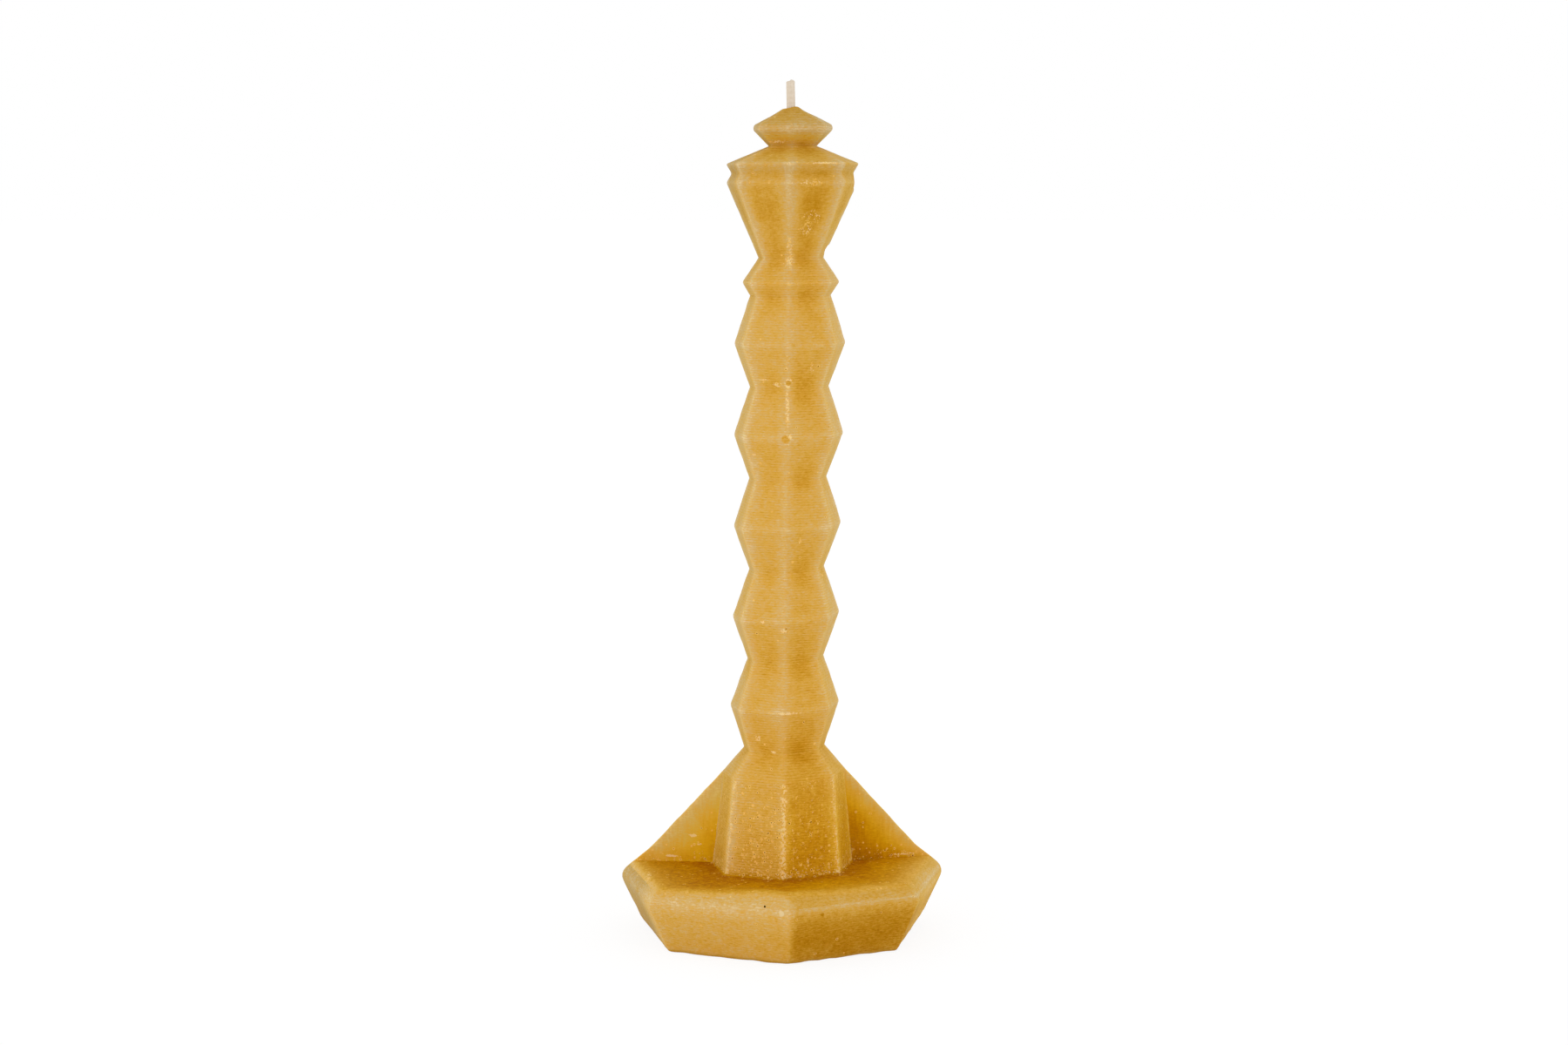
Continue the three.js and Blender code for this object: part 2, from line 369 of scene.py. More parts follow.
class WaxGrid:
    """Rows and columns of the casting. Rows follow its outline from the middle of the foot, over rim, tray
    or skirt, stem, crown and cap, into the bore. Columns go round the axis, closer together at the ridges.
    At the two ridges behind the tray, more columns pass from the tray's outline to the skirt's within the
    upright plane through the axis, which makes the sails. Values by row are columns of numbers and values
    by column flat arrays, so that together they spread over the grid."""

    def __init__(self, w):
        foot, front, rear, upper, tip = wax_knots(w)
        bore = [
            (w.bore_radius, tip - 0.6 * MM, 0.0), (w.bore_radius, tip - 4 * MM, 0.0),
            (w.bore_radius, w.bore_floor, 0.0), (0.1 * MM, w.bore_floor, 0.0),
        ]
        self.front_path, share = softened_path(foot + front + upper + bore)
        self.rear_path, _ = softened_path(foot + rear + upper + bore)
        self.share = share[:, None]

        # The skirt's rows are spread evenly where the tray is open in front
        self.first, self.last = (int(np.argmax(share >= knot)) for knot in (TRAY_EDGE, FLARE))
        stretch = self.rear_path[self.first : self.last + 1]
        along = distances(stretch)
        even = np.linspace(0, along[-1], len(along))
        stretch[:] = np.stack([np.interp(even, along, stretch[:, k]) for k in (0, 1)], axis=-1)

        # Columns over the open facets, a sail, the whole facets behind and the other sail. Turn is their
        # angle from the front ridge, and back is 0 on the tray's outline and 1 on the skirt's
        sail = 0.5 - 0.5 * np.cos(np.linspace(0, math.pi, 18, endpoint=False))
        ahead = facet_turns(-OPEN_RIDGE, OPEN_FACETS, 28)
        behind = facet_turns(OPEN_RIDGE, SIDES - OPEN_FACETS, 18)
        at_sail = np.full(len(sail), OPEN_RIDGE)
        self.turn = np.concatenate([ahead, at_sail, behind, -at_sail])
        self.back = np.concatenate([np.zeros(len(ahead)), sail, np.ones(len(behind)), 1 - sail])
        self.bearing = (self.turn + math.pi) % (2 * math.pi) - math.pi

        # Spot counts the knots passed, as share does, but evenly along the surface
        numbers = np.arange(TIP + 2)
        middle = [np.flatnonzero(share == k).mean() if k else 0 for k in numbers]
        self.along = distances(self.front_path)[:, None]
        self.place = np.interp(middle, np.arange(len(share)), self.along[:, 0])
        self.spot = np.interp(self.along, self.place, numbers)

        # Parts of the surface
        row = np.arange(len(share))[:, None]
        opened = (row >= self.first) & (row <= self.last)
        self.bore = self.share >= TIP
        self.outside = (self.share > FOOT) & ~self.bore
        self.sail = opened & (self.back > 0) & (self.back < 1)
        self.tray = opened & (self.spot <= TRAY_ROOT) & (self.back == 0)
        self.pedestal = opened & (self.spot > TRAY_ROOT) & (self.back == 0)

    def between(self, which):
        """Radius, 0, or height, 1, mixed from the tray's outline and the skirt's by the share at the back."""
        return blend(self.front_path[:, which, None], self.rear_path[:, which, None], self.back)

    def near(self, knots, reach):
        """1 at the level of any of these knots, falling to nothing past the reach along the surface."""
        return bell(np.abs(self.along - self.place[list(knots)]).min(axis=1, keepdims=True) / reach)


def raise_lip(w, grid, radius, height):
    """The tray's edge stands higher and further back beside the front ridge: a bell round the axis that
    grows from the rim up to the edge and fades on the tray's floor."""
    lip = bell((grid.bearing - w.lip_bearing) / w.lip_reach) * (grid.back == 0)
    lip = lip * plateau(grid.share, RIM, TRAY_EDGE - 0.04, TRAY_EDGE + 0.04, TRAY_EDGE + 0.5)
    return radius - w.lip_retreat * lip, height + w.lip_rise * lip


def trim_foot(w, grid, corner, radius, height):
    """The foot was trimmed by hand: what is cut away at each corner is joined by straight lines and waves a
    little. It fades up to the rim, and the radius follows it up the wall's slope."""
    edge = w.foot_radius * outwards(grid.turn)
    at_corners = [*w.foot_trim, w.foot_trim[0]]
    trimmed = np.interp(grid.turn % (2 * math.pi), PITCH * np.arange(SIDES + 1), at_corners)
    trimmed = trimmed + w.foot_wave * (1 + waves(edge, 8 * MM, 3))
    near_foot = np.clip(1 - height / w.rim_height, 0, 1) * ease(0.75, 1.0, corner / w.foot_radius)
    slope = (w.rim_radius - w.foot_radius) / w.rim_height
    return radius + np.where(grid.outside, trimmed * near_foot * slope, 0), height + trimmed * near_foot


# Chips in the ridge furthest to the right: name, angle in degrees, and in millimetres the height over the
# foot, how wide and how tall each is, and the radius to which it cuts
CHIPS = (
    ("crown's edge", 103, 232.6, 5.0, 2.6, 18.9),
    ("over the throat", 103, 211.4, 2.6, 1.5, 10.2),
    ("fourth bead", 104, 153.0, 2.5, 1.2, 16.3),
    ("under the collar", 103, 199.4, 3.0, 0.9, 14.6),
)


def chip_ridge(grid, radius, height):
    """Cuts each chip down to its radius, by an exponential of the sixth power of the distance round it."""
    for _, degrees, level, wide, tall, left in CHIPS:
        across = (grid.turn - math.radians(degrees)) * radius / (wide * MM)
        upright = (height - level * MM) / (tall * MM)
        chip = np.exp(-((across**2 + upright**2) ** 3))
        radius = radius - np.where(grid.outside, chip * np.maximum(radius - left * MM, 0), 0)
    return radius


def turn_ridges(w, grid):
    """Each column's angle once the ridges are turned: the front ridge by an amount that changes with the
    height, the others by a smaller share of it, and the next one to the right by more at the shoulder."""
    knots = [0, TRAY_EDGE, TRAY_ROOT + 0.2, FLARE, WAIST, len(ROWS)]
    yaws = [w.base_yaw, w.base_yaw, w.pedestal_yaw, w.pedestal_yaw, w.waist_yaw, w.crown_yaw]
    front_share = 0.3 + 0.7 * bell(grid.turn / math.radians(35))
    at_right = bell((grid.turn - PITCH) / math.radians(24))
    at_shoulder = np.interp(grid.share, [THROAT, CROWN, SHOULDER, CAP_NECK], [0, 0.6, 1, 0])
    turned = grid.turn + np.interp(grid.share, knots, yaws) * front_share
    return turned + w.shoulder_yaw * at_shoulder * at_right


def soften_creases(grid, points):
    """Softens the creases where the sails meet the tray and the stem's foot: three times over, each point
    there moves most of the way to the middle between its neighbours."""
    crease = np.zeros(points.shape[:2])
    crease[grid.first - 2 : grid.last + 1] = (grid.back > 0) & (grid.back < 0.03)
    crease = np.maximum(crease, np.maximum(np.roll(crease, 1, axis=1), np.roll(crease, -1, axis=1)))
    for _ in range(3):
        middle = (np.roll(points, 1, axis=1) + np.roll(points, -1, axis=1)) / 2
        points = points + (crease * 0.6)[:, :, None] * (middle - points)
    return points


def lean_and_dent(w, grid, points):
    """Draws the wax up round the wick, as a bell across. Then the level edges climb to the right, by a slope
    that is greatest at the second bead, the stem leans the same way by its tangent times the height, and the
    marks are pressed into the front."""
    across, backwards, height = np.moveaxis(points, -1, 0)
    drawn = bell((across - 1.5 * MM) / (1.9 * MM)) * plateau(grid.share, BROW + 0.4, TIP, TIP + 0.1, TIP + 1)
    height = height + w.drawn_wax * drawn
    climb = math.tan(w.base_tilt) + math.tan(w.tilt) * bell((height - w.tilt_height) / w.tilt_reach)
    climb = climb * (1 - 0.5 * ease(150 * MM, 240 * MM, height))
    lifted = np.maximum(height + climb * across * ease(0, w.rim_height, height), 0)
    in_bore = np.interp(grid.share, [TIP - 0.5, TIP], [0, 1])
    across = across - w.shift + math.tan(w.lean) * height - in_bore * w.wick_shift
    for _, (x, z), wide, deep, _, _ in MARKS:
        apart = np.hypot(across - x * MM, lifted - z * MM) / (wide * MM)
        backwards = backwards + np.where(backwards < 0, deep * MM * np.exp(-(apart**4)), 0)
    return np.stack([across, backwards, lifted], axis=-1)


def cast_wax(w):
    """The casting as a grid of points, and its masks: the softened section at each point of the outline, then
    worn, turned, made uneven and leant as a casting from a soft mould is."""
    grid = WaxGrid(w)
    corner, height = grid.between(0), grid.between(1)
    soften = np.where(grid.bore, corner * math.cos(HALF), np.minimum(w.ridge_round, 0.3 * corner))
    radius = rounded_section(grid.turn, np.maximum(corner, 1e-6), soften)
    radius, height = raise_lip(w, grid, radius, height)
    radius, height = trim_foot(w, grid, corner, radius, height)
    radius = chip_ridge(grid, radius, height)

    direction = outwards(turn_ridges(w, grid))
    points = radius[:, :, None] * direction + height[:, :, None] * (0, 0, 1)
    points = soften_creases(grid, points)
    uneven = 0.05 * MM * waves(points, 9 * MM, 11) + 0.03 * MM * waves(points, 3.5 * MM, 12)
    points = points + np.where(grid.outside, uneven, 0)[:, :, None] * direction
    return lean_and_dent(w, grid, points), wax_masks(grid, radius)


# The look of the wax from the foot up: how many knots of the outline are passed, how deep its hue is at the
# left and at the right, with the right deeper and the left paler partly as painted shade and sheen from the
# lamp at the left, how much painted shade darkens it, most on the crown, roof and cap, which get less light
# from above, and how much paler the front ridge and the other ridges are, as painted glow and highlight with
# some bloom
LOOKS = (
    (1.0, 0.30, 0.48, 0.10, 0.03, 0.05),
    (1.1, 0.36, 0.60, 0.05, 0.03, 0.05),
    (1.5, 0.35, 0.68, 0.04, 0.03, 0.05),
    (1.8, 0.33, 0.59, 0.02, 0.03, 0.05),
    (1.95, 0.24, 0.46, 0.01, 0.03, 0.05),
    # Over the rim the hue is paler, as painted glow through the thin wedge of wax
    (2.15, 0.16, 0.14, 0.00, 0.02, 0.05),
    (2.35, 0.22, 0.34, 0.00, 0.02, 0.05),
    (2.8, 0.30, 0.38, 0.01, 0.02, 0.05),
    (2.96, 0.34, 0.42, 0.01, 0.00, 0.00),
    # Across the tray's floor the hue deepens nearly to the deepest, partly as painted shade of the sails and
    # the stem
    (3.06, 0.62, 0.50, 0.00, 0.00, 0.00),
    (3.3, 0.82, 0.72, 0.00, 0.00, 0.00),
    (3.97, 0.97, 0.98, 0.00, 0.00, 0.00),
    (4.04, 0.50, 0.68, 0.00, 0.08, 0.22),
    (4.3, 0.43, 0.67, 0.00, 0.17, 0.26),
    (4.7, 0.39, 0.59, 0.00, 0.14, 0.20),
    (5.0, 0.36, 0.48, 0.00, 0.08, 0.16),
    (6.0, 0.40, 0.50, 0.00, 0.10, 0.13),
    (7.0, 0.34, 0.39, 0.00, 0.12, 0.14),
    (14.0, 0.33, 0.36, 0.00, 0.12, 0.14),
    (17.5, 0.36, 0.38, 0.02, 0.14, 0.16),
    (18.2, 0.37, 0.40, 0.04, 0.17, 0.22),
    (19.0, 0.37, 0.41, 0.06, 0.20, 0.24),
    (20.0, 0.43, 0.50, 0.09, 0.30, 0.30),
    (20.4, 0.36, 0.38, 0.12, 0.22, 0.22),
    (21.0, 0.34, 0.37, 0.10, 0.18, 0.20),
    (21.7, 0.52, 0.47, 0.12, 0.12, 0.10),
    (22.3, 0.32, 0.25, 0.08, 0.03, 0.05),
    (22.8, 0.20, 0.14, 0.09, 0.02, 0.05),
    (23.5, 0.24, 0.20, 0.12, 0.02, 0.05),
    (24.0, 0.33, 0.26, 0.20, 0.02, 0.05),
    (25.0, 0.48, 0.44, 0.24, 0.02, 0.05),
)

# How deep the hue of the skirt behind the sails is, and the masks under the foot and in the bore
SKIRT_DEPTH = 0.42
UNSEEN = {"depth": 0.45, "painted_shade": 0.22}

# How much deeper the hue is painted low on each facet of the crown, as painted shade, from the one right
# of the front ridge on
CROWN_PATCHES = (0.22, 0.12, 0.10, 0.14, 0.12, 0.10, 0.13)

# Marks in the front: name, place across and up, radius and depth of the dent in millimetres, how much deeper
# its hue is painted (painted shade in a dent, a painted highlight on the lump, a dark fleck in the speck),
# and how flaky the ring round it is
MARKS = (
    ("crater", (1.9, 171.8), 0.9, 0.35, 0.25, 0.8),
    ("dimple", (1.1, 155.0), 1.4, 0.30, 0.28, 0.1),
    ("small dimple", (3.3, 183.4), 0.7, 0.20, 0.12, 0.0),
    ("pinhole", (1.1, 97.2), 0.5, 0.40, 0.35, 0.4),
    ("rim dent", (12.0, 15.9), 0.6, 0.25, 0.25, 0.0),
    ("rim lump", (-0.2, 17.1), 0.9, -0.25, -0.25, 0.1),
    ("right dent", (13.0, 155.0), 0.7, 0.20, 0.08, 0.0),
    ("left dent", (-10.8, 152.5), 0.8, 0.15, 0.06, 0.0),
    ("speck", (-5.1, 18.5), 0.28, 0.10, 3.00, 0.0),
)

# Where dry flakes gather: name, place across, back and up and reach across and up in millimetres, strength
FLAKES = (
    ("crater, left", (-5.3, -11, 172.6), (2.6, 0.5), 1.0),
    ("crater, beside", (-1.3, -11, 171.3), (1.8, 1.2), 1.0),
    ("crater, right", (3.6, -12, 173.0), (2.0, 0.35), 0.8),
    ("seam under the crater", (1.6, -14, 164.0), (0.8, 8.5), 0.8),
    ("end of that seam", (2.4, -16, 155.9), (0.9, 1.0), 0.8),
    ("seam over the crater", (1.6, -15, 178.0), (0.7, 5.0), 0.45),
    ("pinhole", (0.6, -15, 96.6), (2.2, 1.2), 0.7),
    ("fleck at the second bead", (-6.0, -14, 98.9), (0.9, 0.9), 0.9),
    ("waist, middle", (-2.6, -10, 58.4), (1.3, 0.8), 1.0),
    ("waist, left", (-7.3, -10, 62.8), (1.4, 1.9), 1.0),
    ("third bead, right", (5.4, -15, 123.8), (0.8, 1.1), 0.9),
    ("edge of the first bead", (1.4, -16, 71.2), (7.0, 0.5), 0.8),
    ("scratch, left", (-8.6, -12, 149.9), (1.4, 0.35), 1.0),
    ("neck of the cap, left", (-1.2, -6, 244.4), (4.0, 0.8), 1.0),
    ("roof, left", (-8.6, -8, 240.6), (2.0, 0.8), 0.6),
    ("crown, upper right", (9.5, -13, 222.0), (4.6, 3.4), 0.62),
    ("crown, lower right", (7.5, -12, 217.6), (3.6, 3.4), 0.6),
    ("crown, ridge", (2.2, -11, 212.0), (2.2, 7.0), 0.42),
    ("crown, top right", (8.4, -15, 232.0), (5.0, 2.5), 0.5),
    ("shoulder, right", (12.3, -16, 238.0), (6.0, 0.4), 0.8),
    ("throat", (2.2, -10, 208.0), (8.0, 2.4), 0.36),
    ("collar, right", (6.8, -9, 204.0), (4.5, 3.5), 0.5),
    ("fifth bead, right", (9.0, -11, 176.5), (1.2, 3.4), 0.75),
    ("left sail, high", (-27.9, 4, 28.8), (2.0, 0.8), 1.7),
    ("left sail, low", (-34.8, 6, 22.0), (2.4, 0.45), 1.5),
    ("left sail, between", (-25.8, 5, 26.1), (1.0, 0.6), 1.0),
    ("rim, far left", (-41.0, -12, 19.3), (1.4, 4.0), 0.8),
    ("crease of the right sail", (38.7, 4, 22.4), (6.5, 0.6), 0.9),
    ("rim, front", (1.8, -50, 15.4), (1.4, 2.4), 0.35),
)


def neck_patches(grid):
    """Deeper patches on the middle of each facet, as painted shade in the necks: half a sine wave across it,
    times a bell along the surface at each neck, each of its own strength. One more lies low on the crown, as
    painted shade there."""
    rng = np.random.default_rng(7)
    facet = (grid.turn % (2 * math.pi)) / PITCH
    number = np.minimum(facet.astype(int), SIDES - 1)
    across = np.sin(math.pi * (facet % 1))
    patches = bell((grid.spot - 18.65) / 0.32) * np.array(CROWN_PATCHES)[number] * across**2
    for knot in NECKS:
        strength = rng.uniform(0.03, 0.14, SIDES)
        strength[0], strength[-1] = rng.uniform(0.13, 0.18), rng.uniform(0.07, 0.13)
        beyond = grid.along - grid.place[knot]
        reach = np.where(beyond > 0, 6.5 * MM, 4.5 * MM)
        patches = patches + bell(beyond / reach) * across * strength[number]
    return patches


def wax_masks(grid, radius):
    """What the finish needs to know of each point, from 0 to 1. Depth is the depth of hue, and it also
    carries
    painted light and shade: a value by height and side, the right side deeper partly as painted shade,
    deeper in the patches at the necks as painted shade, and paler at ridges and edges as painted glow and
    highlight with some bloom, as bells of the distance to them. On a sail it grows inwards from the thin
    edge, by an exponential, as painted light at the edge and painted shade inwards. A mask of painted shade
    darkens a little, and a mask of painted bounce light takes the blue out where light goes to and fro in a
    hollow. Lined, grained, flaky and pitted say how strong the layer lines, the level grain, the dry flakes
    and the pits are."""
    spot, turn, back, around = grid.spot, grid.turn, grid.back, np.abs(grid.bearing)
    sail, tray, pedestal = grid.sail, grid.tray, grid.pedestal
    plain = ~(sail | tray)

    # Heights, and the side from 0 at the left to 1 at the right, which evens out behind
    low = np.interp(spot, [2.8, TRAY_EDGE], [1, 0])
    wall = spot < RIM
    high = plateau(spot, THROAT, CROWN, SHOULDER, CAP_NECK)
    crowned = plateau(spot, THROAT - 0.2, THROAT + 0.4, SHOULDER, CAP_NECK)
    behind = ease(math.radians(95), math.radians(150), around)
    side = blend(ease(-3 * MM + 2.5 * MM * low, 3 * MM, np.sin(turn) * radius), 0.5, behind)
    aside = ease(math.radians(50), math.radians(75), around) * plain * (1 - 0.7 * behind)

    # Depth of hue and painted shade by height and side, with the right side deeper partly as painted shade,
    # and ridges and edges paler as painted glow and highlight with some bloom
    knots, *columns = np.array(LOOKS).T
    left, right, painted_shade, front_pale, ridge_pale = (np.interp(spot, knots, column) for column in columns)
    depth = blend(left, right, side)
    skirt = (back == 1) & (spot > TRAY_EDGE) & (spot < FLARE)
    depth = np.where(skirt, SKIRT_DEPTH, depth) + neck_patches(grid)
    off_ridge = from_ridge(turn) * radius
    pale = np.where(around < HALF, front_pale, ridge_pale) * bell(off_ridge / (2.4 * MM))
    depth = depth - (pale + 0.07 * grid.near(EDGES, 1.3 * MM)) * plain

    # The facets at both sides get painted shade, which the low right facets give back as painted light, and
    # are paler as a painted sheen of the white room seen at a grazing angle
    left_side_shade = 0.145 + 0.10 * low + 0.08 * wall + 0.08 * high
    right_side_shade = 0.06 - 0.07 * low - 0.06 * wall
    left_pale = 0.08 - 0.08 * low + 0.03 * wall
    right_pale = 0.11 - 0.04 * low + 0.13 * wall - 0.05 * high
    # The low right side gets more painted shade
    painted_shade = painted_shade + aside * blend(left_side_shade, right_side_shade, side) + 0.07 * low * side
    depth = depth - aside * blend(left_pale, right_pale, side) + 0.12 * aside * pedestal

    # Sails: paler at the thin outer edge as painted light through the wax and past the stem, and deeper
    # inwards and by the stem as painted shade of the stem, most on the right sail
    width = np.linalg.norm(grid.rear_path - grid.front_path, axis=1)[:, None]
    inward, on_left = (1 - back) * width, np.sin(turn) < 0
    by_the_stem = bell(back * width / (6 * MM)) * np.interp(spot, [4.1, 4.6], [1, 0])
    left_sail = 0.11 + 0.37 * (1 - np.exp(-inward / (13 * MM))) + 0.2 * by_the_stem
    right_sail = 0.10 + 0.70 * (1 - np.exp(-inward / (6.2 * MM))) + 0.14 * by_the_stem
    depth = np.where(sail, np.where(on_left, left_sail, right_sail), depth)
    sail_bounce = 0.25 + 0.72 * np.where(on_left, ease(0, 15 * MM, inward), ease(0, 8 * MM, inward))

    # Places of their own: the front ridge, the stem's foot, and a sheet of film and pits on its left
    seam = bell(turn * radius / (1.3 * MM)) * plain
    root = grid.near((TRAY_ROOT,), 3.4 * MM) * (back == 0) * (1 - 0.7 * tray)
    sheet = pedestal * bell((grid.bearing + 0.35) / 0.5) * plateau(spot, TRAY_ROOT, 4.2, 4.6, 4.9)
    corner = pedestal * bell(off_ridge / (0.9 * MM))
    # Painted bounce light, as if light went to and fro in the hollow: on the tray's floor, on the right of
    # the stem's foot and inwards on the sails
    hollow = np.interp(spot, [3.25, 3.6, 3.8, 3.97, 4.03, FLARE], [0, 0.85, 0.7, 0.3, 0.6, 0])
    painted_bounce = np.where(sail, sail_bounce, hollow * np.maximum(tray, pedestal * side))
    flaky = seam * (0.3 - 0.18 * pedestal) + 0.2 * root + 0.42 * pedestal + 0.42 * corner
    flaky = flaky + 0.45 * sail * by_the_stem + 0.12 * high
    lined = plain * (1 - 0.8 * crowned) * (1 - 0.6 * low)
    masks = {
        "depth": depth,
        "painted_shade": painted_shade,
        # More painted bounce light in the cap's neck
        "painted_bounce": painted_bounce + 0.4 * bell((spot - CAP_NECK - 0.5) / 0.3),
        "lined": lined * (1 - 0.6 * pedestal * side) * (1 - 0.5 * aside),
        "grained": np.where(sail, 0.5, 0.75 + 0.25 * low * plain + 0.15 * pedestal),
        "flaky": flaky + 0.08 * grid.near(NECKS, 3 * MM) + 0.3 * grid.near(EDGES, 0.6 * MM),
        "pitted": 0.07 * pedestal + 0.75 * root + 0.6 * sheet + 0.04 * tray + 0.4 * sail * by_the_stem,
    }
    clipped = {key: np.clip(value, 0, 1) for key, value in masks.items()}
    return {key: np.where(grid.outside, value, UNSEEN.get(key, 0.0)) for key, value in clipped.items()}


class CANDLE_OT_cast_wax(bpy.types.Operator):
    """Build the seven-sided beeswax casting with its drip tray and sails"""

    bl_idname = "candle.cast_wax"
    bl_label = "Cast Wax"

    def execute(self, context):
        points, masks = cast_wax(context.scene.candle_wax)
        wax = grid_mesh("wax_casting", points, masks)
        wax.data.set_sharp_from_angle(angle=math.radians(40))
        wax.data.materials.append(beeswax(context.scene.candle_finish))
        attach(wax, "root")
        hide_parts("wax_body")
        return {"FINISHED"}


def braid_wick(s, w):
    """The wick as one closed grid: a rounded square section along the leaning axis, with the strands of a
    plait as two sets of ridges that cross. It swells to its full width under the tip of the wax, bends a
    little, and its top is cut askew and rounded."""
    low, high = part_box("wick")
    top = high.z
    shown_from, swells_from = top - s.free, top - s.free - 3 * MM
    hidden = np.linspace(low.z, swells_from, 10, endpoint=False)
    rise = np.concatenate([hidden, np.linspace(swells_from, top, 110)])[:, None]
    turn = np.linspace(0, 2 * math.pi, 64, endpoint=False)
    square = 1 / (np.cos(turn) ** 4 + np.sin(turn) ** 4) ** 0.25
    plait = 2 * math.pi * rise / s.strand
    strands = np.maximum(np.cos(2 * turn + plait), np.cos(2 * turn - plait))
    shown = ease(swells_from, shown_from, rise)
    blunt = np.sqrt(np.clip(1 - ((rise - (top - 0.7 * MM)) / (0.72 * MM)).clip(0) ** 2, 0.02, 1))
    radius = s.width / 2 * square * (0.985 + 0.015 * strands) * blunt * (0.86 + 0.14 * shown)
    sway = math.tan(w.lean) * rise - w.shift - w.wick_shift - s.bend * ease(shown_from, top, rise)
    height = rise - s.cut * ease(top - 1 * MM, top, rise) * (np.cos(turn) < 0)
    points = np.stack([sway + radius * np.cos(turn), radius * np.sin(turn), height], axis=-1)
    return points, {"strands": 0.5 + 0.5 * strands}


class CANDLE_OT_braid_wick(bpy.types.Operator):
    """Build the braided cotton wick"""

    bl_idname = "candle.braid_wick"
    bl_label = "Braid Wick"

    def execute(self, context):
        points, masks = braid_wick(context.scene.candle_wick, context.scene.candle_wax)
        wick = grid_mesh("cotton_wick", points, masks)
        wick.data.materials.append(cotton(context.scene.candle_wick))
        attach(wick, "root")
        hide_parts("wick")
        return {"FINISHED"}


class Nodes:
    """Short names for placing and joining shader nodes in one tree."""

    def __init__(self, tree):
        self.tree = tree

    def add(self, kind, inputs=None, **settings):
        """A node of that kind with its settings and its inputs, each a value or another node's output."""
        node = self.tree.nodes.new(kind)
        for key, value in settings.items():
            setattr(node, key, value)
        for key, value in (inputs or {}).items():
            if isinstance(value, bpy.types.NodeSocket):
                self.tree.links.new(value, node.inputs[key])
            else:
                node.inputs[key].default_value = value
        return node

    def math(self, operation, *values):
        return self.add("ShaderNodeMath", dict(enumerate(values)), operation=operation).outputs[0]

    def times(self, a, b):
        return self.math("MULTIPLY", a, b)

    def more(self, base, pattern, share):
        """The base with a share of a pattern laid on top of it."""
        return self.math("MULTIPLY_ADD", pattern, share, base)

    def mix(self, factor, a, b, blend="MIX"):
        node = self.add("ShaderNodeMix", {0: factor, 6: a, 7: b}, data_type="RGBA", blend_type=blend)
        return node.outputs[2]

    def span(self, value, low, high, to_low=0.0, to_high=1.0):
        """A value eased from one range into another, the first by default into 0 to 1."""
        inputs = {0: value, 1: low, 2: high, 3: to_low, 4: to_high}
        return self.add("ShaderNodeMapRange", inputs, interpolation_type="SMOOTHSTEP").outputs[0]

    def mask(self, name):
        return self.add("ShaderNodeAttribute", attribute_name=name).outputs["Fac"]

    def squeezed(self, place, upright):
        """Places with their height scaled, so that a pattern grows tall under 1 and flat over it."""
        return self.add("ShaderNodeMapping", {"Vector": place, "Scale": (1.0, 1.0, upright)}).outputs[0]

    def gap(self, place, centre, reach):
        """Distance from a centre in shares of a reach of its own along each axis, both in millimetres."""
        offset = self.add("ShaderNodeMapping", {
            "Vector": place, "Location": [c * MM for c in centre], "Scale": [r * MM for r in reach]
        }, vector_type="TEXTURE").outputs[0]
        return self.add("ShaderNodeVectorMath", {0: offset}, operation="LENGTH").outputs["Value"]

    def noise(self, place, size, detail=2.0, rough=0.5):
        inputs = {"Vector": place, "Scale": 1 / size, "Detail": detail, "Roughness": rough}
        return self.add("ShaderNodeTexNoise", inputs).outputs["Fac"]

    def swing(self, place, size, detail=2.0, rough=0.5):
        """Noise that swings about nothing."""
        return self.math("SUBTRACT", self.noise(place, size, detail, rough), 0.5)

    def bump(self, height, strength, distance):
        inputs = {"Height": height, "Strength": strength, "Distance": distance}
        return self.add("ShaderNodeBump", inputs).outputs["Normal"]

    def seen(self):
        """1 for what the camera sees, directly, in a gloss or through glass, and 0 for any other light."""
        path = self.add("ShaderNodeLightPath").outputs
        seen = self.math("MAXIMUM", path["Is Camera Ray"], path["Is Glossy Ray"])
        return self.math("MAXIMUM", seen, path["Is Transmission Ray"])


def empty_nodes(owner):
    """The emptied node tree of a material or a world, in its helper."""
    owner.use_nodes = True
    owner.node_tree.nodes.clear()
    return Nodes(owner.node_tree)


def rgba(value):
    return (*value, 1.0)


def lay_marks(n, place, depth, flaky):
    """Depth of hue and flakiness with the marks and the flakes laid over them, each a round or oval spot that
    reaches well through the front. A mark deepens the hue in its dent as painted shade, the lump is paler as
    a painted highlight, and the speck is a dark fleck. A mark may have a flaky ring."""
    for _, (x, z), radius, _, deeper, flaked in MARKS:
        apart = n.gap(place, (x, -30, z), (radius, 60, radius))
        depth = n.more(depth, n.span(apart, 1.15, 0.7), deeper)
        if flaked:
            ring = n.times(n.span(apart, 0.8, 1.1), n.span(apart, 1.9, 1.3))
            flaky = n.more(flaky, ring, flaked)
    for _, centre, (wide, tall), strength in FLAKES:
        apart = n.gap(place, centre, (wide, 9, tall))
        flaky = n.more(flaky, n.span(apart, 1.2, 0.2), strength)
    return depth, flaky


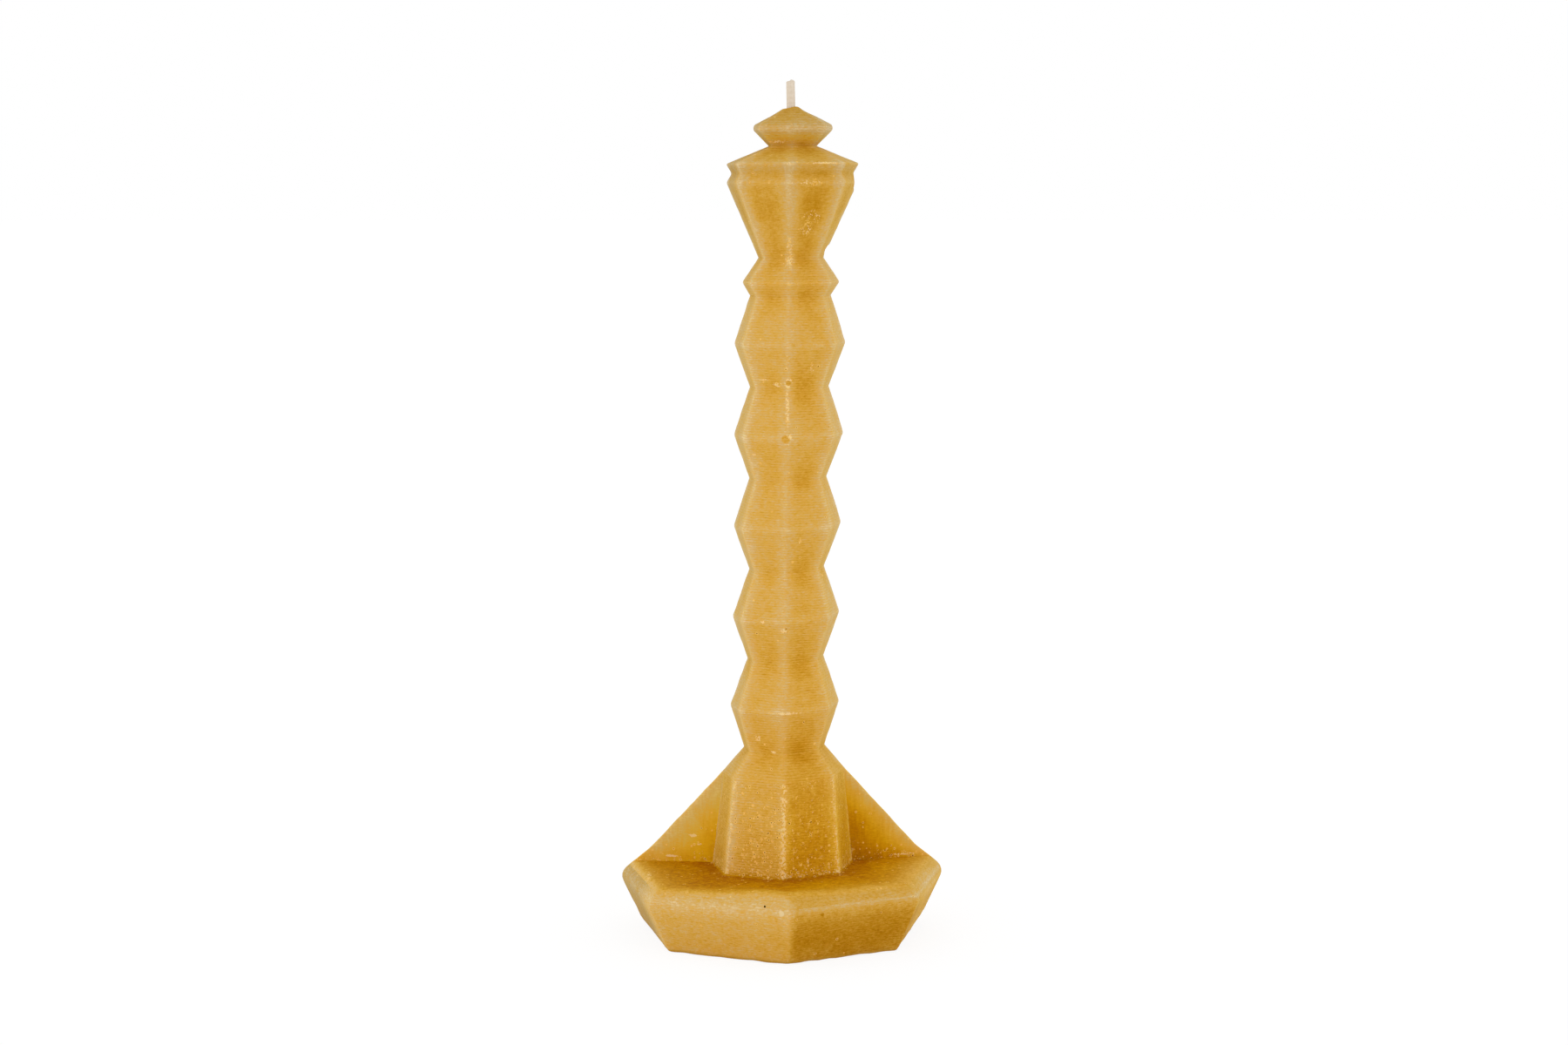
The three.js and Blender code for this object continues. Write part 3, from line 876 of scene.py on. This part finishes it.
def wax_tone(n, f, depth):
    """Colour of clean wax by its depth of hue, which also carries painted light and shade. Where the masks
    say so, the blue is taken out as painted bounce light in hollows, and the colour is darkened as painted
    shade.
    Far past the deepest hue, in the speck, it is almost black."""
    ramp = n.add("ShaderNodeValToRGB", {0: n.math("MAXIMUM", depth, 0.0)})
    palest, deepest = ramp.color_ramp.elements
    palest.color, deepest.color = rgba(f.bloom), rgba(f.deep)
    for at, tint in ((0.16, f.thin), (0.32, f.light), (0.47, f.full), (0.6, f.warm), (0.74, f.rich)):
        ramp.color_ramp.elements.new(at).color = rgba(tint)
    # Painted bounce light: in hollows the red and green are raised and the blue is taken out
    tone = n.mix(n.mask("painted_bounce"), ramp.outputs[0], (1.13, 1.18, 0.08, 1.0), "MULTIPLY")
    # Painted shade: the colour is darkened towards black
    tone = n.mix(n.mask("painted_shade"), tone, rgba(BLACK))
    return n.mix(n.span(depth, 1.3, 2.0), tone, (0.01, 0.008, 0.002, 1.0))


def pits(n, place, patch):
    """Pits where bubbles met the mould, and their rims. Each lies round the point of a cell, has a size of
    its own, and is there by a chance that the mask and the patches give."""
    cells = n.add("ShaderNodeTexVoronoi", {"Vector": place, "Scale": 1 / (1.1 * MM), "Randomness": 1.0})
    chance = n.add("ShaderNodeSeparateColor", {0: cells.outputs["Color"]}).outputs
    cluster = n.span(patch, -0.15, 0.2, 0.3, 1.5)
    wanted = n.math("LESS_THAN", chance[0], n.more(0.01, n.mask("pitted"), cluster))
    across = n.math("DIVIDE", cells.outputs["Distance"], n.more(0.14, chance[1], 0.13))
    pit = n.times(wanted, n.span(across, 1.0, 0.6))
    rim = n.times(wanted, n.times(n.span(across, 0.8, 1.2), n.span(across, 2.2, 1.4)))
    return pit, rim


def beeswax(f):
    """Translucent beeswax. Its colour follows the depth of hue, with the painted light and shade that the
    masks carry, broken up by soft mottling, a level grain and faint layer lines that break into dashes. Over
    that lie small pits with pale rims and floors painted darker as the shade in them, curls of film and dry
    whitish flakes. The lines, the mottling and the pits also stand in the relief."""
    material = bpy.data.materials.new("beeswax")
    n = empty_nodes(material)
    place = n.add("ShaderNodeTexCoord").outputs["Object"]
    lined = n.mask("lined")

    # Mottling: soft clouds, patches, upright streaks and a level grain
    cloud = n.swing(place, 14 * MM, 2)
    patch = n.swing(place, 3.5 * MM, 3, 0.6)
    streak = n.swing(n.squeezed(place, 0.16), 0.8 * MM, 3, 0.6)
    grain = n.swing(n.squeezed(place, 4.0), 1.4 * MM, 3, 0.75)
    fine = n.noise(place, 0.6 * MM, 3, 0.65)

    # Layer lines: a sine of the height that wanders a little, broken into dashes
    upright = n.add("ShaderNodeSeparateXYZ", {0: place}).outputs[2]
    wander = n.times(n.noise(place, 5 * MM, 2), 5.0)
    phase = n.more(wander, upright, 2 * math.pi / f.layer_height)
    dash = n.span(n.noise(n.squeezed(place, 2.5), 1.3 * MM, 3, 0.7), 0.38, 0.66)
    line = n.times(n.times(n.math("SINE", phase), dash), lined)

    depth = n.mask("depth")
    for pattern, share in (
        (cloud, 0.2), (patch, 0.2), (streak, n.more(0.32, lined, -0.2)), (grain, n.mask("grained")),
        (line, 0.14),
    ):
        depth = n.more(depth, pattern, share)
    depth, flaky = lay_marks(n, place, depth, n.mask("flaky"))
    tone = wax_tone(n, f, depth)

    # Flakes lie where fine noise is over a level, and curls of film follow its middle line round them
    level = n.more(0.74, flaky, -0.3)
    solid = n.span(n.math("SUBTRACT", fine, level), 0.03, 0.08)
    gathered = n.span(n.math("SUBTRACT", n.noise(place, 1.6 * MM, 2, 0.6), level), 0.0, 0.05)
    curl = n.times(gathered, n.span(n.math("ABSOLUTE", n.math("SUBTRACT", fine, 0.5)), 0.05, 0.02))
    pit, rim = pits(n, place, patch)
    # Painted shade on the floors of the pits
    tone = n.mix(n.times(pit, 0.85), tone, rgba(f.pit))
    tone = n.mix(n.times(n.math("MAXIMUM", rim, curl), 0.65), tone, rgba(f.rim))
    tone = n.mix(n.times(solid, 0.7), tone, rgba(f.flake))

    relief = n.times(line, 0.02)
    for pattern, share in ((fine, 0.10), (streak, 0.10), (patch, 0.15), (pit, -0.25)):
        relief = n.more(relief, pattern, share)
    shader = n.add("ShaderNodeBsdfPrincipled", {
        "Base Color": tone,
        "Roughness": f.roughness,
        "IOR": 1.44,
        "Specular IOR Level": 0.03,
        "Subsurface Weight": f.glow,
        "Subsurface Radius": (1.0, 0.75, 0.35),
        "Subsurface Scale": 1.2 * MM,
        "Normal": n.bump(relief, 0.8, 1 * MM),
    })
    n.add("ShaderNodeOutputMaterial", {"Surface": shader.outputs[0]})
    return material


def cotton(s):
    """Undyed cotton: light on the strands, greyer between them as painted shade in the grooves of the braid,
    with fine fibres along the braid.
    """
    material = bpy.data.materials.new("wick_cotton")
    n = empty_nodes(material)
    place = n.add("ShaderNodeTexCoord").outputs["Object"]
    fibre = n.noise(n.squeezed(place, 0.12), 0.22 * MM, 3)
    light = n.times(n.mask("strands"), n.span(fibre, 0.2, 0.7))
    tone = n.mix(light, rgba(s.shade), rgba(s.cotton))
    shader = n.add("ShaderNodeBsdfPrincipled", {
        "Base Color": tone,
        "Roughness": 0.95,
        "Specular IOR Level": 0.1,
        "Normal": n.bump(fibre, 0.5, 0.2 * MM),
    })
    n.add("ShaderNodeOutputMaterial", {"Surface": shader.outputs[0]})
    return material


def white_room(look):
    """World that lights the candle evenly, less from overhead, and looks plain white to the camera."""
    world = bpy.data.worlds.new("White room")
    n = empty_nodes(world)
    sky = n.add("ShaderNodeSeparateXYZ", {0: n.add("ShaderNodeTexCoord").outputs["Generated"]}).outputs[2]
    level = n.span(sky, 0.1, 0.9, look.fill_level, look.fill_level * look.top_share)
    room, white = (
        n.add("ShaderNodeBackground", {"Color": rgba(WHITE), "Strength": strength}).outputs[0]
        for strength in (level, 1.0)
    )
    mixed = n.add("ShaderNodeMixShader", {0: n.seen(), 1: room, 2: white}).outputs[0]
    n.add("ShaderNodeOutputWorld", {"Surface": mixed})
    return world


def white_floor(look):
    """Square floor that looks plain white and still takes a share of the candle's shadow."""
    mesh = bpy.data.meshes.new("floor")
    half = look.floor_half
    corners = [(-half, -half, 0), (half, -half, 0), (half, half, 0), (-half, half, 0)]
    mesh.from_pydata(corners, [], [(0, 1, 2, 3)])
    material = bpy.data.materials.new("floor")
    n = empty_nodes(material)
    matt = n.add("ShaderNodeBsdfDiffuse", {"Color": rgba(look.floor)}).outputs[0]
    white = n.add("ShaderNodeEmission", {"Color": rgba(WHITE), "Strength": look.floor_white}).outputs[0]
    share = n.times(n.seen(), look.floor_share)
    mixed = n.add("ShaderNodeMixShader", {0: share, 1: matt, 2: white}).outputs[0]
    n.add("ShaderNodeOutputMaterial", {"Surface": mixed})
    mesh.materials.append(material)
    return bpy.data.objects.new("floor", mesh)


class CANDLE_OT_set_stage(bpy.types.Operator):
    """Set the camera, the lamp, the white room and the floor"""

    bl_idname = "candle.set_stage"
    bl_label = "Set Stage"

    def execute(self, context):
        scene, look = context.scene, context.scene.candle_stage
        scene.view_settings.view_transform = "Standard"
        scene.world = white_room(look)

        camera = bpy.data.objects.new("Camera", bpy.data.cameras.new("Camera"))
        camera.location = look.camera_place
        camera.rotation_euler = (math.pi / 2 - look.camera_pitch, 0, 0)
        camera.data.lens = look.lens
        camera.data.sensor_width = 36
        camera.data.clip_start, camera.data.clip_end = 0.01, 100
        scene.collection.objects.link(camera)
        scene.camera = camera

        lamp = bpy.data.lights.new("Key", "AREA")
        lamp.size, lamp.energy = look.key_size, look.key_power
        key = bpy.data.objects.new("Key", lamp)
        key.location = look.key_place
        x, y, z = np.array(look.key_aim) - np.array(look.key_place)
        key.rotation_euler = (math.atan2(math.hypot(x, y), -z), 0, math.atan2(-x, y))
        scene.collection.objects.link(key)

        floor = white_floor(look)
        scene.collection.objects.link(floor)
        return {"FINISHED"}


class CANDLE_PT_sidebar(bpy.types.Panel):
    """Lists the candle's sizes, colours and builders"""

    bl_idname = "CANDLE_PT_sidebar"
    bl_label = "Geometric Candle"
    bl_space_type = "VIEW_3D"
    bl_region_type = "UI"
    bl_category = "Candle"

    def draw(self, context):
        for key in GROUPS:
            group = getattr(context.scene, key)
            for name in group.__annotations__:
                self.layout.prop(group, name)
        for operator in OPERATORS:
            self.layout.operator(operator.bl_idname)


GROUPS = {
    "candle_wax": WaxShape,
    "candle_finish": WaxFinish,
    "candle_wick": WickShape,
    "candle_stage": StageLook,
}
OPERATORS = (CANDLE_OT_cast_wax, CANDLE_OT_braid_wick, CANDLE_OT_set_stage)
CLASSES = (*GROUPS.values(), *OPERATORS, CANDLE_PT_sidebar)


def register():
    for cls in CLASSES:
        bpy.utils.register_class(cls)
    for key, group in GROUPS.items():
        setattr(bpy.types.Scene, key, PointerProperty(type=group))


def unregister():
    for key in GROUPS:
        delattr(bpy.types.Scene, key)
    for cls in reversed(CLASSES):
        bpy.utils.unregister_class(cls)


def main():
    register()
    bpy.ops.candle.cast_wax()
    bpy.ops.candle.braid_wick()
    bpy.ops.candle.set_stage()


if __name__ == "__main__":
    main()
